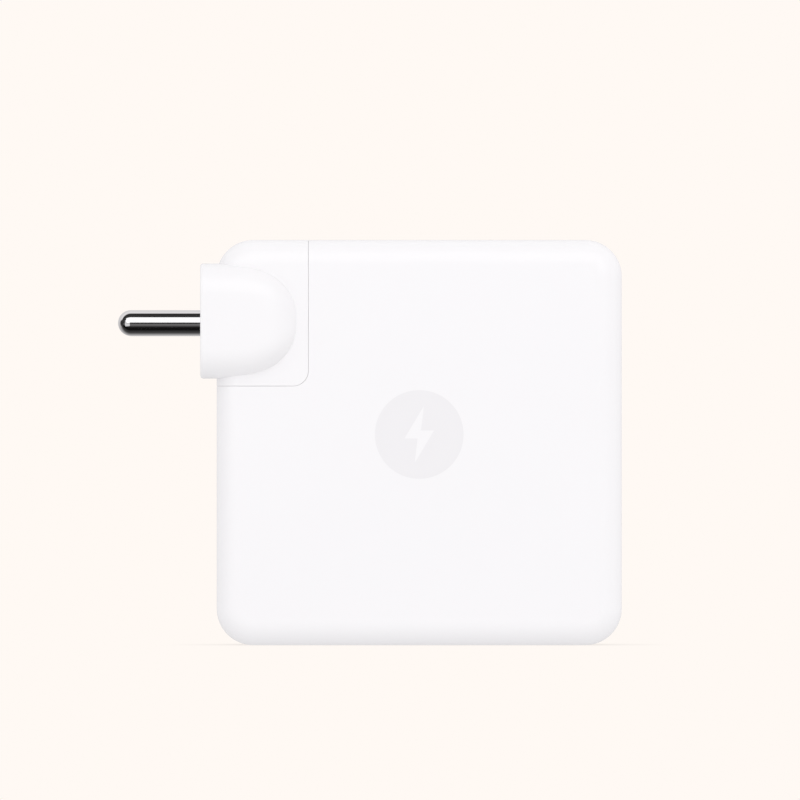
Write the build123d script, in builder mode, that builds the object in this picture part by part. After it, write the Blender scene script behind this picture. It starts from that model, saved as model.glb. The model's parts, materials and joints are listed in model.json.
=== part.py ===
from build123d import *
from math import sqrt
import os

# A square USB-C laptop power adapter with a removable plug head in its top left corner.
#
# X points right, Y from the front face to the rear face, Z up. The origin is the centre of the
# narrow bottom face, which the adapter can stand on. Lengths are in millimetres.
# The plug head slides on from above: its boss enters the mains inlet in the floor of the corner
# recess while its T-slot runs over the stud on the wall of the recess.

# ---------------------------------------------------------------- driving dimensions

# Brick housing
body_width = 80.0
body_height = 80.0
body_depth = 29.0
corner_radius = 7.2
edge_radius = 4.5
wall = 2.3
lap_length = 1.5
lap_thickness = 1.1
seam_groove = 0.2

# Corner recess and the gap round the plug head in it
head_width = 18.11
head_height = 28.85
seam_gap = 0.05
recess_radius = 3.0

# Mains inlet, to the figure-of-eight pattern
inlet_x = -31.2
inlet_pitch = 8.6
inlet_pin_radius = 1.2
boss_lobe_radius = 3.65
boss_waist = 5.0
boss_length = 12.0
socket_clearance = 0.2
socket_depth = 14.0
block_wall = 2.2

# Latch stud and the T-slot over it
stud_z = 64.0
stud_shaft_radius = 2.5
stud_head_radius = 4.4
stud_neck_length = 2.14
stud_head_length = 2.0
slot_lip = 1.7
slot_side_gap = 0.1
channel_side_gap = 0.2
channel_end_gap = 0.3

# Nose of the plug head
nose_reach = 3.2
nose_z = 64.0
nose_half_depth = 17.8
nose_half_height = 11.35
nose_corner_radius = 5.8
nose_arc_start = 8.5
nose_depth_arc = 9.6
nose_rise_start = 3.0
nose_rise_arc = 20.0
nose_end = 16.5
nose_edge_radius = 0.5

# Plug head construction
head_wall = 2.0
nose_wall = 2.2
nose_face_wall = 3.0

# Mains pins
pin_radius = 2.55
pin_seat_radius = 2.3
pin_pitch = 19.0
pin_length = 16.3
pin_z = 63.6
collar_radius = 3.9
collar_length = 1.8
tail_radius = 1.6
tail_length = 3.6

# Output socket
port_z = 40.0
port_width = 8.94
port_height = 3.2
port_shell = 0.32
port_depth = 9.0

# Circuit boards
board_thickness = 1.6
board_front = 8.0
output_board_thickness = 1.2
output_board_front = port_height / 2
sheet_thickness = 0.6
film_thickness = 0.3

# ---------------------------------------------------------------- derived places

left = -body_width / 2
right = body_width / 2
top = body_height
half_depth = body_depth / 2
mid_z = body_height / 2

seam_x = left + head_width
seam_z = top - head_height
recess_x = seam_x + seam_gap / 2
recess_z = seam_z - seam_gap / 2
head_x = seam_x - seam_gap / 2
head_z = seam_z + seam_gap / 2

nose_face_x = left - nose_reach
board_rear = board_front + board_thickness
cavity_half_depth = half_depth - wall
sheet_face = cavity_half_depth - 0.05
film_face = sheet_face - sheet_thickness - 0.05
film_inner_face = film_face - film_thickness

support_points = [(-32.0, 8.0), (29.5, 8.0), (29.5, 72.5)]
support_radius = 2.5
peg_radius = 1.0

os.makedirs("parts", exist_ok=True)


# ---------------------------------------------------------------- shared helpers


def depth_plane(y):
    """Plane facing the front at depth y: X right, Z up, extrusion towards the front."""
    return Plane.XZ.offset(-y)


def side_plane(x):
    """Plane facing right at x: Y across, Z up, extrusion towards +X."""
    return Plane.YZ.offset(x)


def level(z):
    """Horizontal plane at height z, extrusion upwards."""
    return Plane.XY.offset(z)


def span(a_min, a_max, b_min, b_max, mode=Mode.ADD):
    """Rectangle between stated edges of the current sketch."""
    with Locations(((a_min + a_max) / 2, (b_min + b_max) / 2)):
        Rectangle(a_max - a_min, b_max - b_min, mode=mode)


def finish(builder, name):
    """Label a finished piece and write its STEP file."""
    builder.part.label = name
    export_step(builder.part, f"parts/{name}.step")


def housing_outline(inset):
    """Rounded square outline of the brick, drawn in by inset, on the current sketch."""
    with Locations((0, mid_z)):
        RectangleRounded(body_width - 2 * inset, body_height - 2 * inset, corner_radius - inset)


def housing_form(inset):
    """The brick's rounded solid form, drawn in by inset on every side."""
    with BuildPart() as form:
        with BuildSketch(depth_plane(half_depth - inset)):
            housing_outline(inset)
        extrude(amount=body_depth - 2 * inset)
        fillet(form.faces().filter_by(Axis.Y).edges(), radius=edge_radius - inset)
    return form.part


def wall_ring(outer_inset, inner_inset, y_rear, length):
    """A band round the brick's narrow sides between two insets, from y_rear towards the front."""
    with BuildPart() as ring:
        with BuildSketch(depth_plane(y_rear)):
            housing_outline(outer_inset)
        extrude(amount=length)
        with BuildSketch(depth_plane(y_rear)):
            housing_outline(inner_inset)
        extrude(amount=length, mode=Mode.SUBTRACT)
    return ring.part


def corner_region(x_wall, z_floor, radius):
    """Everything left of x_wall and above z_floor, with a round lower right corner."""
    with BuildPart() as region:
        with BuildSketch(depth_plane(body_depth)) as outline:
            span(x_wall - body_width, x_wall, z_floor, z_floor + body_height)
            lower_right = outline.vertices().group_by(Axis.Y)[0].sort_by(Axis.X)[-1]
            fillet(lower_right, radius=radius)
        extrude(amount=2 * body_depth)
    return region.part


def figure_eight(lobe_radius, waist):
    """Outline of the mains inlet on a horizontal sketch: two lobes in depth with a straight waist."""
    with Locations((inlet_x, 0)):
        Rectangle(waist, inlet_pitch)
        with GridLocations(0, inlet_pitch, 1, 2):
            Circle(lobe_radius)


def arch(half_width, z_bottom, z_centre):
    """Slot outline on a side sketch: open at z_bottom, round above z_centre."""
    span(-half_width, half_width, z_bottom, z_centre)
    with Locations((0, z_centre)):
        Circle(half_width)


# ---------------------------------------------------------------- brick housing

outer_form = housing_form(0)
inner_form = housing_form(wall)
recess = corner_region(recess_x, recess_z, recess_radius + seam_gap / 2)
lap_step = wall - lap_thickness
fit_gap = 0.05

# Hole for the output socket, a stadium with its long axis upright
with BuildPart() as port_hole:
    with BuildSketch(side_plane(right - 8.0)):
        with Locations((0, port_z)):
            SlotOverall(port_width + 0.3, port_height + 0.3, rotation=90)
    extrude(amount=10.0)

# Collar behind the hole that holds the socket square
with BuildPart() as port_collar:
    with BuildSketch(side_plane(right - wall - 2.4)):
        with Locations((0, port_z)):
            RectangleRounded(port_height + 3.2, port_width + 3.2, 1.5)
    extrude(amount=2.6)

# Front half: carries the tongue of the lap joint
with BuildPart() as front_shell:
    add(outer_form)
    add(inner_form, mode=Mode.SUBTRACT)
    add(port_collar.part)
    split(bisect_by=depth_plane(0), keep=Keep.TOP)
    add(wall_ring(lap_step, wall, lap_length, lap_length + 1.0))
    add(wall_ring(-1.0, seam_groove, seam_groove / 2, seam_groove), mode=Mode.SUBTRACT)
    add(recess, mode=Mode.SUBTRACT)
    add(port_hole.part, mode=Mode.SUBTRACT)
finish(front_shell, "front_shell")

# Rear half: rebated for the tongue, with posts and pegs under the main board
with BuildPart() as rear_shell:
    add(outer_form)
    add(inner_form, mode=Mode.SUBTRACT)
    add(port_collar.part)
    split(bisect_by=depth_plane(0), keep=Keep.BOTTOM)
    rebate_length = lap_length + fit_gap
    add(wall_ring(lap_step - fit_gap, wall + 3.0, rebate_length, rebate_length), mode=Mode.SUBTRACT)
    add(wall_ring(-1.0, seam_groove, seam_groove / 2, seam_groove), mode=Mode.SUBTRACT)
    with BuildSketch(depth_plane(cavity_half_depth + 0.1)):
        with Locations(*support_points):
            Circle(support_radius)
    extrude(amount=cavity_half_depth + 0.1 - board_rear)
    with BuildSketch(depth_plane(board_rear)):
        with Locations(*support_points):
            Circle(peg_radius)
    extrude(amount=board_thickness - 0.3)
    add(recess, mode=Mode.SUBTRACT)
    add(port_hole.part, mode=Mode.SUBTRACT)
finish(rear_shell, "rear_shell")

# ---------------------------------------------------------------- mains inlet

socket_floor_z = recess_z - socket_depth
block_bottom_z = socket_floor_z - 2.0

with BuildPart() as inlet_block:
    add(corner_region(recess_x + block_wall, recess_z - block_wall, recess_radius + block_wall))
    add(recess, mode=Mode.SUBTRACT)
    add(housing_form(wall + fit_gap), mode=Mode.INTERSECT)
    with BuildSketch(level(recess_z - block_wall / 2)):
        with Locations((inlet_x, 0)):
            RectangleRounded(2 * boss_lobe_radius + 4.0, 2 * boss_lobe_radius + inlet_pitch + 4.0, 3.0)
    extrude(amount=-(recess_z - block_wall / 2 - block_bottom_z))
    with BuildSketch(level(recess_z)):
        figure_eight(boss_lobe_radius + socket_clearance, boss_waist + 2 * socket_clearance)
    extrude(amount=-socket_depth, mode=Mode.SUBTRACT)
    with BuildSketch(level(block_bottom_z)):
        with Locations((inlet_x, 0)):
            with GridLocations(0, inlet_pitch, 1, 2):
                Circle(inlet_pin_radius)
    extrude(amount=2.0, mode=Mode.SUBTRACT)
    with BuildSketch(side_plane(recess_x)):
        with Locations((0, stud_z)):
            Circle(stud_shaft_radius)
    extrude(amount=block_wall, mode=Mode.SUBTRACT)
finish(inlet_block, "inlet_block")

inlet_pin_top_z = recess_z - 2.0
inlet_pin_tail_z = block_bottom_z - 2.0


def inlet_pin(side):
    """One inlet pin: a round tip in the socket and a tail under the block."""
    with BuildPart() as pin:
        with BuildSketch(level(inlet_pin_tail_z)):
            with Locations((inlet_x, side * inlet_pitch / 2)):
                Circle(inlet_pin_radius)
        extrude(amount=inlet_pin_top_z - inlet_pin_tail_z)
        fillet(pin.edges().sort_by(Axis.Z)[-1], radius=0.7)
    return pin


# Latch stud: moulded into the recess wall, grounded by a lead from its tail
stud_head_x = recess_x - stud_neck_length - stud_head_length
stud_tail_x = recess_x + block_wall + 2.0

with BuildPart() as latch_stud:
    with BuildSketch(side_plane(stud_head_x)):
        with Locations((0, stud_z)):
            Circle(stud_head_radius)
    extrude(amount=stud_head_length)
    fillet(latch_stud.edges().sort_by(Axis.X)[0], radius=0.6)
    with BuildSketch(side_plane(stud_head_x + stud_head_length)):
        with Locations((0, stud_z)):
            Circle(stud_shaft_radius)
    extrude(amount=stud_neck_length + block_wall)
    with BuildSketch(side_plane(recess_x + block_wall)):
        with Locations((0, stud_z)):
            Circle(tail_radius)
    extrude(amount=stud_tail_x - recess_x - block_wall)
finish(latch_stud, "latch_stud")


def lead(points, bend_radius, wire_radius):
    """Insulated wire along straight runs joined by arcs."""
    with BuildPart() as wire:
        with BuildLine() as path:
            FilletPolyline(*points, radius=bend_radius)
        with BuildSketch(Plane(origin=path.line @ 0, z_dir=path.line % 0)):
            Circle(wire_radius)
        sweep()
    return wire


lead_radius = 0.75

for name, side, turn_z, bend in (
    ("front", -1, inlet_pin_tail_z - 6.0, 3.0),
    ("rear", 1, inlet_pin_tail_z - 2.6, 1.6),
):
    finish(inlet_pin(side), f"inlet_pin_{name}")
    pin_y = side * inlet_pitch / 2
    route = [(inlet_x, pin_y, inlet_pin_tail_z), (inlet_x, pin_y, turn_z), (inlet_x, board_front, turn_z)]
    finish(lead(route, bend, lead_radius), f"inlet_lead_{name}")

ground_turn_x = stud_tail_x + 2.4
ground_route = [
    (stud_tail_x, 0, stud_z),
    (ground_turn_x, 0, stud_z),
    (ground_turn_x, board_front, stud_z),
]
finish(lead(ground_route, 2.2, lead_radius), "ground_lead")

# ---------------------------------------------------------------- circuit boards

board_left = left + 4.0
board_right = right - 5.0
board_bottom = 4.8
board_top = top - 4.8
notch_x = recess_x + block_wall + 0.6
notch_z = block_bottom_z - 0.6

# Main board: notched round the mains inlet, drilled for the pegs
with BuildPart() as main_board:
    with BuildSketch(depth_plane(board_rear)):
        span(board_left, board_right, board_bottom, board_top)
        span(board_left, notch_x, notch_z, board_top, mode=Mode.SUBTRACT)
        with Locations(*support_points):
            Circle(peg_radius + 0.05, mode=Mode.SUBTRACT)
    extrude(amount=board_thickness)
    fillet(main_board.edges().filter_by(Axis.Y).group_by(Axis.X)[0], radius=1.0)
finish(main_board, "main_board")

output_board_left = 19.0
output_board_rear = output_board_front + output_board_thickness

with BuildPart() as output_board:
    with BuildSketch(depth_plane(output_board_rear)):
        span(output_board_left, board_right, port_z - 9.4, port_z + 9.4)
    extrude(amount=output_board_thickness)
    fillet(output_board.edges().filter_by(Axis.Y), radius=0.8)
finish(output_board, "output_board")

# Header pins that carry the output board in front of the main board
with BuildPart() as board_link_pins:
    with BuildSketch(depth_plane(board_front)):
        with Locations((output_board_left + 2.0, port_z), (board_right - 3.0, port_z)):
            with GridLocations(0, 2.54, 1, 6):
                Rectangle(0.64, 0.64)
    extrude(amount=board_front - output_board_rear)
finish(board_link_pins, "board_link_pins")

# ---------------------------------------------------------------- output socket

port_face_x = right - 0.1
port_rear_x = port_face_x - port_depth
port_base_x = port_rear_x + 2.4
tongue_x = port_face_x - 1.2
tongue_width = 6.69
tongue_half_thickness = 0.35
contact_pitch = 0.5
contact_thickness = 0.06

with BuildPart() as usb_c_receptacle:
    with BuildSketch(side_plane(port_rear_x)):
        with Locations((0, port_z)):
            SlotOverall(port_width, port_height, rotation=90)
            inner_width = port_width - 2 * port_shell
            inner_height = port_height - 2 * port_shell
            SlotOverall(inner_width, inner_height, rotation=90, mode=Mode.SUBTRACT)
    extrude(amount=port_depth)
finish(usb_c_receptacle, "usb_c_receptacle")

with BuildPart() as usb_c_tongue:
    with BuildSketch(side_plane(port_rear_x)):
        with Locations((0, port_z)):
            SlotOverall(inner_width - 0.02, inner_height - 0.02, rotation=90)
    extrude(amount=port_base_x - port_rear_x)
    with BuildSketch(side_plane(port_base_x)):
        with Locations((0, port_z)):
            Rectangle(2 * tongue_half_thickness, tongue_width)
    extrude(amount=tongue_x - port_base_x)
finish(usb_c_tongue, "usb_c_tongue")

# Twelve contacts on each side of the tongue
with BuildPart() as usb_c_contacts:
    for plane_y in (tongue_half_thickness + contact_thickness, -tongue_half_thickness):
        with BuildSketch(depth_plane(plane_y)):
            with Locations((port_base_x + 2.2, port_z)):
                with GridLocations(0, contact_pitch, 1, 12):
                    Rectangle(4.4, 0.25)
        extrude(amount=contact_thickness)
finish(usb_c_contacts, "usb_c_contacts")

# ---------------------------------------------------------------- mains side of the circuit


def board_block(x_min, x_max, z_min, z_max, height, edge=0.5):
    """Moulded rectangular component standing on the front of the main board."""
    with BuildPart() as block:
        with BuildSketch(depth_plane(board_front)):
            span(x_min, x_max, z_min, z_max)
        extrude(amount=height)
        fillet(block.faces().sort_by(Axis.Y)[0].edges(), radius=edge)
    return block


fuse_x = -27.0
fuse_z = 7.2
fuse_radius = 1.7
fuse_cap_radius = 1.95
fuse_length = 10.0
fuse_y = board_front - fuse_cap_radius - 0.05

with BuildPart() as fuse_body:
    with BuildSketch(side_plane(fuse_x - fuse_length / 2)):
        with Locations((fuse_y, fuse_z)):
            Circle(fuse_radius)
    extrude(amount=fuse_length)
finish(fuse_body, "fuse_body")

with BuildPart() as fuse_caps:
    for cap_x in (fuse_x - fuse_length / 2 - 0.3, fuse_x + fuse_length / 2 - 2.2):
        with BuildSketch(side_plane(cap_x)):
            with Locations((fuse_y, fuse_z)):
                Circle(fuse_cap_radius)
        extrude(amount=2.5)
    add(fuse_body.part, mode=Mode.SUBTRACT)
finish(fuse_caps, "fuse_caps")

# Mains filter choke: a ferrite ring with a winding on each half
choke_x = -28.0
choke_z = 17.4
choke_outer = 7.0
choke_inner = 3.9
choke_height = 7.0
choke_wire_radius = 0.42
choke_turns = 8
choke_turn_angle = 14.5
choke_rear_y = board_front - 2 * choke_wire_radius - 0.15

with BuildPart() as choke_core:
    with BuildSketch(depth_plane(choke_rear_y)):
        with Locations((choke_x, choke_z)):
            Circle(choke_outer)
            Circle(choke_inner, mode=Mode.SUBTRACT)
    extrude(amount=choke_height)
    fillet(choke_core.edges().filter_by(GeomType.CIRCLE), radius=0.6)
finish(choke_core, "choke_core")


def choke_turn(angle):
    """One turn of wire round the ring's section at a stated angle."""
    middle_y = choke_rear_y - choke_height / 2
    centre = Vector(choke_x, middle_y, choke_z)
    radial = Vector(1, 0, 0).rotate(Axis.Y, angle)
    section = Plane(origin=centre, x_dir=radial, z_dir=radial.cross(Vector(0, 1, 0)))
    clearance = choke_wire_radius + 0.05
    with BuildPart() as turn:
        with BuildLine(section) as path:
            FilletPolyline(
                (choke_inner - clearance, -choke_height / 2 - clearance),
                (choke_outer + clearance, -choke_height / 2 - clearance),
                (choke_outer + clearance, choke_height / 2 + clearance),
                (choke_inner - clearance, choke_height / 2 + clearance),
                radius=0.8,
                close=True,
            )
        with BuildSketch(Plane(origin=path.line @ 0, z_dir=path.line % 0)):
            Circle(choke_wire_radius)
        sweep()
    return turn.part


with BuildPart() as choke_windings:
    for middle_angle in (0, 180):
        for turn in range(choke_turns):
            add(choke_turn(middle_angle + (turn - (choke_turns - 1) / 2) * choke_turn_angle))
finish(choke_windings, "choke_windings")

x_capacitor = board_block(-19.6, -13.2, 5.6, 21.6, 12.0)
finish(x_capacitor, "x_capacitor")

bridge_rectifier = board_block(-18.8, -15.2, 24.6, 39.4, 10.5, edge=0.4)
finish(bridge_rectifier, "bridge_rectifier")

# High voltage electrolytic capacitors, lying with their vented ends up
can_radius = 6.25
can_length = 25.0
can_base_z = 50.0
can_y = board_front - can_radius - 0.05
can_pitch = 12.8
can_first_x = -7.6
crimp_depth = 0.45


def lying_capacitor(x):
    """Electrolytic can with a crimp near its base and a cross-shaped vent on its end."""
    with BuildPart() as can:
        for z_from, length, radius in (
            (0.0, 1.6, can_radius),
            (1.6, 1.0, can_radius - crimp_depth),
            (2.6, can_length - 2.6, can_radius),
        ):
            with BuildSketch(level(can_base_z + z_from)):
                with Locations((x, can_y)):
                    Circle(radius)
            extrude(amount=length)
        fillet(can.edges().sort_by(Axis.Z)[-1], radius=0.6)
        with BuildSketch(level(can_base_z + can_length)):
            with Locations((x, can_y)):
                Rectangle(7.5, 0.5)
                Rectangle(0.5, 7.5)
        extrude(amount=-0.3, mode=Mode.SUBTRACT)
    return can


for number in range(3):
    finish(lying_capacitor(can_first_x + number * can_pitch), f"bulk_capacitor_{number + 1}")

# ---------------------------------------------------------------- wound parts


def ferrite_core(x, z, width, length, height, plate, window_radius, post_radius):
    """Ferrite core with a round post, open at the left and right of its winding window."""
    with BuildPart() as core:
        with BuildSketch(depth_plane(board_front)):
            with Locations((x, z)):
                Rectangle(width, length)
        extrude(amount=height)
        with BuildSketch(depth_plane(board_front - plate)):
            with Locations((x, z)):
                Circle(window_radius)
                Rectangle(2 * width, 1.4 * window_radius)
                Circle(post_radius, mode=Mode.SUBTRACT)
        extrude(amount=height - 2 * plate, mode=Mode.SUBTRACT)
    return core


def winding_ring(x, z, y_rear, height, inner_radius, outer_radius):
    """Round winding on an axis in depth."""
    with BuildPart() as ring:
        with BuildSketch(depth_plane(y_rear)):
            with Locations((x, z)):
                Circle(outer_radius)
                Circle(inner_radius, mode=Mode.SUBTRACT)
        extrude(amount=height)
    return ring


transformer_x = 5.6
transformer_z = 34.2
transformer_height = 16.0
transformer_plate = 3.0
window_radius = 10.0
post_radius = 4.4
flange_thickness = 0.8
window_height = transformer_height - 2 * transformer_plate
transformer_window_y = board_front - transformer_plate

transformer_core = ferrite_core(
    transformer_x,
    transformer_z,
    21.0,
    26.0,
    transformer_height,
    transformer_plate,
    window_radius,
    post_radius,
)
finish(transformer_core, "transformer_core")

with BuildPart() as transformer_bobbin:
    with BuildSketch(depth_plane(transformer_window_y)):
        with Locations((transformer_x, transformer_z)):
            Circle(window_radius - 0.1)
    extrude(amount=window_height)
    with BuildSketch(depth_plane(transformer_window_y - flange_thickness)):
        with Locations((transformer_x, transformer_z)):
            Circle(window_radius)
            Circle(post_radius + 0.8, mode=Mode.SUBTRACT)
    extrude(amount=window_height - 2 * flange_thickness, mode=Mode.SUBTRACT)
    with BuildSketch(depth_plane(transformer_window_y)):
        with Locations((transformer_x, transformer_z)):
            Circle(post_radius + 0.1)
    extrude(amount=window_height, mode=Mode.SUBTRACT)
finish(transformer_bobbin, "transformer_bobbin")

transformer_winding = winding_ring(
    transformer_x,
    transformer_z,
    transformer_window_y - flange_thickness,
    window_height - 2 * flange_thickness,
    post_radius + 0.8,
    window_radius - 0.6,
)
finish(transformer_winding, "transformer_winding")

inductor_x = -1.6
inductor_z = 12.6
inductor_height = 13.0
inductor_plate = 2.4

pfc_inductor_core = ferrite_core(
    inductor_x, inductor_z, 15.0, 15.0, inductor_height, inductor_plate, 6.0, 2.6
)
finish(pfc_inductor_core, "pfc_inductor_core")

pfc_inductor_winding = winding_ring(
    inductor_x,
    inductor_z,
    board_front - inductor_plate,
    inductor_height - 2 * inductor_plate,
    2.6,
    5.8,
)
finish(pfc_inductor_winding, "pfc_inductor_winding")

# ---------------------------------------------------------------- power switches

sink_x = -13.4
sink_thickness = 1.8
sink_height = 15.5
sink_bottom_z = 23.4
sink_top_z = 48.6
transistor_x = sink_x + sink_thickness
transistor_depth = 4.2

# Heat sink: an angle whose flange lies over the transistors, towards the front sheet
with BuildPart() as primary_heat_sink:
    with BuildSketch(level(sink_bottom_z)):
        span(sink_x, sink_x + sink_thickness, board_front - sink_height, board_front)
        span(sink_x, transistor_x + transistor_depth, board_front - sink_height, board_front - 13.9)
    extrude(amount=sink_top_z - sink_bottom_z)
finish(primary_heat_sink, "primary_heat_sink")

for number, z_min in ((1, sink_bottom_z + 1.2), (2, sink_top_z - 11.2)):
    transistor_end = transistor_x + transistor_depth
    transistor = board_block(transistor_x, transistor_end, z_min, z_min + 10.0, 13.4, edge=0.4)
    finish(transistor, f"switching_transistor_{number}")

# ---------------------------------------------------------------- output side of the circuit

output_can_radius = 4.0
output_can_length = 11.5


def upright_capacitor(x, z):
    """Solid polymer capacitor standing on the main board, with a black base disc and a crimp."""
    with BuildPart() as can:
        for depth_from, length, radius in (
            (0.0, 1.2, output_can_radius),
            (1.2, 0.7, output_can_radius - 0.3),
            (1.9, output_can_length - 1.9, output_can_radius),
        ):
            with BuildSketch(depth_plane(board_front - depth_from)):
                with Locations((x, z)):
                    Circle(radius)
            extrude(amount=length)
        fillet(can.edges().sort_by(Axis.Y)[0], radius=0.5)
    return can


for number, (x, z) in enumerate([(29.4, 58.6), (29.4, 67.2), (29.4, 17.0)]):
    finish(upright_capacitor(x, z), f"output_capacitor_{number + 1}")

with BuildPart() as y_capacitor:
    with BuildSketch(side_plane(12.0)):
        with Locations((board_front - 4.8, 12.0)):
            Circle(4.5)
    extrude(amount=3.6)
    fillet(y_capacitor.edges().filter_by(GeomType.CIRCLE), radius=1.2)
finish(y_capacitor, "y_capacitor")

optocoupler = board_block(18.6, 23.2, 8.0, 14.6, 3.4, edge=0.3)
finish(optocoupler, "optocoupler")


def surface_chip(face_y, x, z, width, length, height):
    """Flat chip; positive height stands towards the front, negative towards the rear."""
    with BuildPart() as chip:
        with BuildSketch(depth_plane(face_y)):
            with Locations((x, z)):
                Rectangle(width, length)
        extrude(amount=height)
        chamfer(chip.edges().filter_by(Axis.Y).sort_by(Axis.X)[0], length=0.4)
    return chip


controller_chip = surface_chip(board_rear, -4.0, 58.0, 6.0, 5.0, -1.2)
finish(controller_chip, "controller_chip")
sync_rectifier = surface_chip(output_board_front, 25.4, port_z - 4.6, 5.0, 6.0, 1.1)
finish(sync_rectifier, "sync_rectifier")
power_delivery_chip = surface_chip(output_board_front, 25.4, port_z + 4.6, 5.0, 5.0, 0.9)
finish(power_delivery_chip, "power_delivery_chip")

# ---------------------------------------------------------------- sheets and films


def lining(rear_y, thickness, margin, post_holes):
    """Flat lining of one shell, notched round the inlet; the rear ones clear the board posts."""
    with BuildPart() as sheet:
        with BuildSketch(depth_plane(rear_y)):
            with Locations((0, mid_z)):
                RectangleRounded(body_width - 2 * margin, body_height - 2 * margin, 2.4)
            span(left, recess_x + block_wall + 0.5, recess_z - block_wall - 0.5, top, mode=Mode.SUBTRACT)
            if post_holes:
                with Locations(*support_points):
                    Circle(support_radius + 0.3, mode=Mode.SUBTRACT)
        extrude(amount=thickness)
    return sheet


finish(lining(-sheet_face + sheet_thickness, sheet_thickness, 4.6, False), "front_heat_spreader")
finish(lining(-film_inner_face, film_thickness, 4.9, False), "front_insulation")
finish(lining(film_face, film_thickness, 4.9, True), "rear_insulation")
finish(lining(sheet_face, sheet_thickness, 4.6, True), "rear_heat_spreader")

with BuildPart() as transformer_pad:
    with BuildSketch(depth_plane(board_front - transformer_height)):
        with Locations((transformer_x, transformer_z)):
            Rectangle(18.0, 23.0)
    extrude(amount=film_inner_face - (transformer_height - board_front))
finish(transformer_pad, "transformer_pad")

# ---------------------------------------------------------------- plug head cover


def nose_fall(x, start, radius):
    """How far the nose has fallen at x along a circular arc that begins at start."""
    run = max(0.0, x - left - start)
    return radius - sqrt(radius**2 - run**2)


def nose_section(x, inset):
    """Rounded rectangular section of the nose on a side sketch at x."""
    half_depth_here = nose_half_depth - inset - nose_fall(x, nose_arc_start, nose_depth_arc)
    half_height_here = nose_half_height - inset - nose_fall(x, nose_rise_start, nose_rise_arc)
    with Locations((0, nose_z)):
        RectangleRounded(2 * half_depth_here, 2 * half_height_here, nose_corner_radius - inset)


def nose_form(inset, x_start, x_end):
    """The nose as a straight length and a lofted tip, drawn in by inset."""
    straight_end = left + nose_rise_start
    stations = 7
    step = (x_end - straight_end) / stations
    with BuildPart() as nose:
        with BuildSketch(side_plane(x_start)):
            nose_section(x_start, inset)
        extrude(amount=straight_end - x_start)
        for station in range(stations + 1):
            x = straight_end + station * step
            with BuildSketch(side_plane(x)):
                nose_section(x, inset)
        loft()
    return nose


nose = nose_form(0, nose_face_x, left + nose_end)
nose_hollow = nose_form(nose_wall, nose_face_x + nose_face_wall, left + nose_end - nose_wall)
head_hollow = housing_form(head_wall)
head_region = corner_region(head_x, head_z, recess_radius - seam_gap / 2)
insert_proud = 0.03
insert_region = corner_region(head_x + insert_proud, head_z - insert_proud, recess_radius - seam_gap / 2)

with BuildPart() as plug_head_shell:
    add(outer_form)
    add(head_region, mode=Mode.INTERSECT)
    add(nose.part)
    fillet(plug_head_shell.faces().sort_by(Axis.X)[0].edges(), radius=nose_edge_radius)
    add(head_hollow, mode=Mode.SUBTRACT)
    add(nose_hollow.part, mode=Mode.SUBTRACT)
    with BuildSketch(side_plane(nose_face_x)):
        with Locations((0, pin_z)):
            with GridLocations(pin_pitch, 0, 2, 1):
                Circle(pin_seat_radius)
    extrude(amount=nose_face_wall, mode=Mode.SUBTRACT)
finish(plug_head_shell, "plug_head_shell")

# ---------------------------------------------------------------- plug head insert

channel_radius = stud_head_radius + channel_side_gap
channel_depth = stud_neck_length - seam_gap + stud_head_length + channel_end_gap
track_x = head_x - channel_depth - 1.2
track_half_width = channel_radius + 1.6
slot_centre_z = stud_z + slot_side_gap
insert_wall = 2.0
boss_tip_z = head_z - boss_length
sleeve_outer_radius = 1.7
sleeve_bore_radius = inlet_pin_radius + 0.05

with BuildPart() as plug_head_insert:
    add(insert_region)
    add(corner_region(head_x - insert_wall, head_z + insert_wall, 1.0), mode=Mode.SUBTRACT)
    with BuildSketch(side_plane(track_x)):
        arch(track_half_width, head_z, slot_centre_z)
    extrude(amount=head_x + insert_proud - track_x)
    add(insert_region, mode=Mode.INTERSECT)
    add(housing_form(head_wall + fit_gap), mode=Mode.INTERSECT)
    with BuildSketch(side_plane(head_x - slot_lip)):
        arch(stud_shaft_radius + slot_side_gap, head_z - 5.0, slot_centre_z)
    extrude(amount=slot_lip + 1.0, mode=Mode.SUBTRACT)
    with BuildSketch(side_plane(head_x - channel_depth)):
        arch(channel_radius, head_z - 5.0, slot_centre_z)
    extrude(amount=channel_depth - slot_lip, mode=Mode.SUBTRACT)
    with BuildSketch(level(boss_tip_z)):
        figure_eight(boss_lobe_radius, boss_waist)
    extrude(amount=boss_length)
    with BuildSketch(level(boss_tip_z)):
        with Locations((inlet_x, 0)):
            with GridLocations(0, inlet_pitch, 1, 2):
                Circle(sleeve_outer_radius)
    extrude(amount=boss_length + insert_wall, mode=Mode.SUBTRACT)
finish(plug_head_insert, "plug_head_insert")

# ---------------------------------------------------------------- mains pins and contacts

collar_x = nose_face_x + nose_face_wall
retainer_x = collar_x + collar_length
strip_x = retainer_x + 2.0
strip_thickness = 0.8
strip_bend_z = head_z + insert_wall + 2.0
strip_width = 5.0

with BuildPart() as pin_retainer:
    with BuildSketch(side_plane(retainer_x)):
        nose_section(retainer_x, nose_wall + fit_gap)
        with Locations((0, pin_z)):
            with GridLocations(pin_pitch, 0, 2, 1):
                Circle(tail_radius, mode=Mode.SUBTRACT)
    extrude(amount=strip_x - retainer_x)
finish(pin_retainer, "pin_retainer")


def plug_pin(side):
    """Round mains pin: hemispherical tip, seat in the nose's face, collar behind it, riveted tail."""
    with BuildPart() as pin:
        for x_from, length, radius in (
            (nose_face_x - pin_length, pin_length, pin_radius),
            (nose_face_x, nose_face_wall, pin_seat_radius),
            (collar_x, collar_length, collar_radius),
            (retainer_x, tail_length, tail_radius),
        ):
            with BuildSketch(side_plane(x_from)):
                with Locations((side * pin_pitch / 2, pin_z)):
                    Circle(radius)
            extrude(amount=length)
        fillet(pin.edges().sort_by(Axis.X)[0], radius=pin_radius - 0.05)
    return pin


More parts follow.
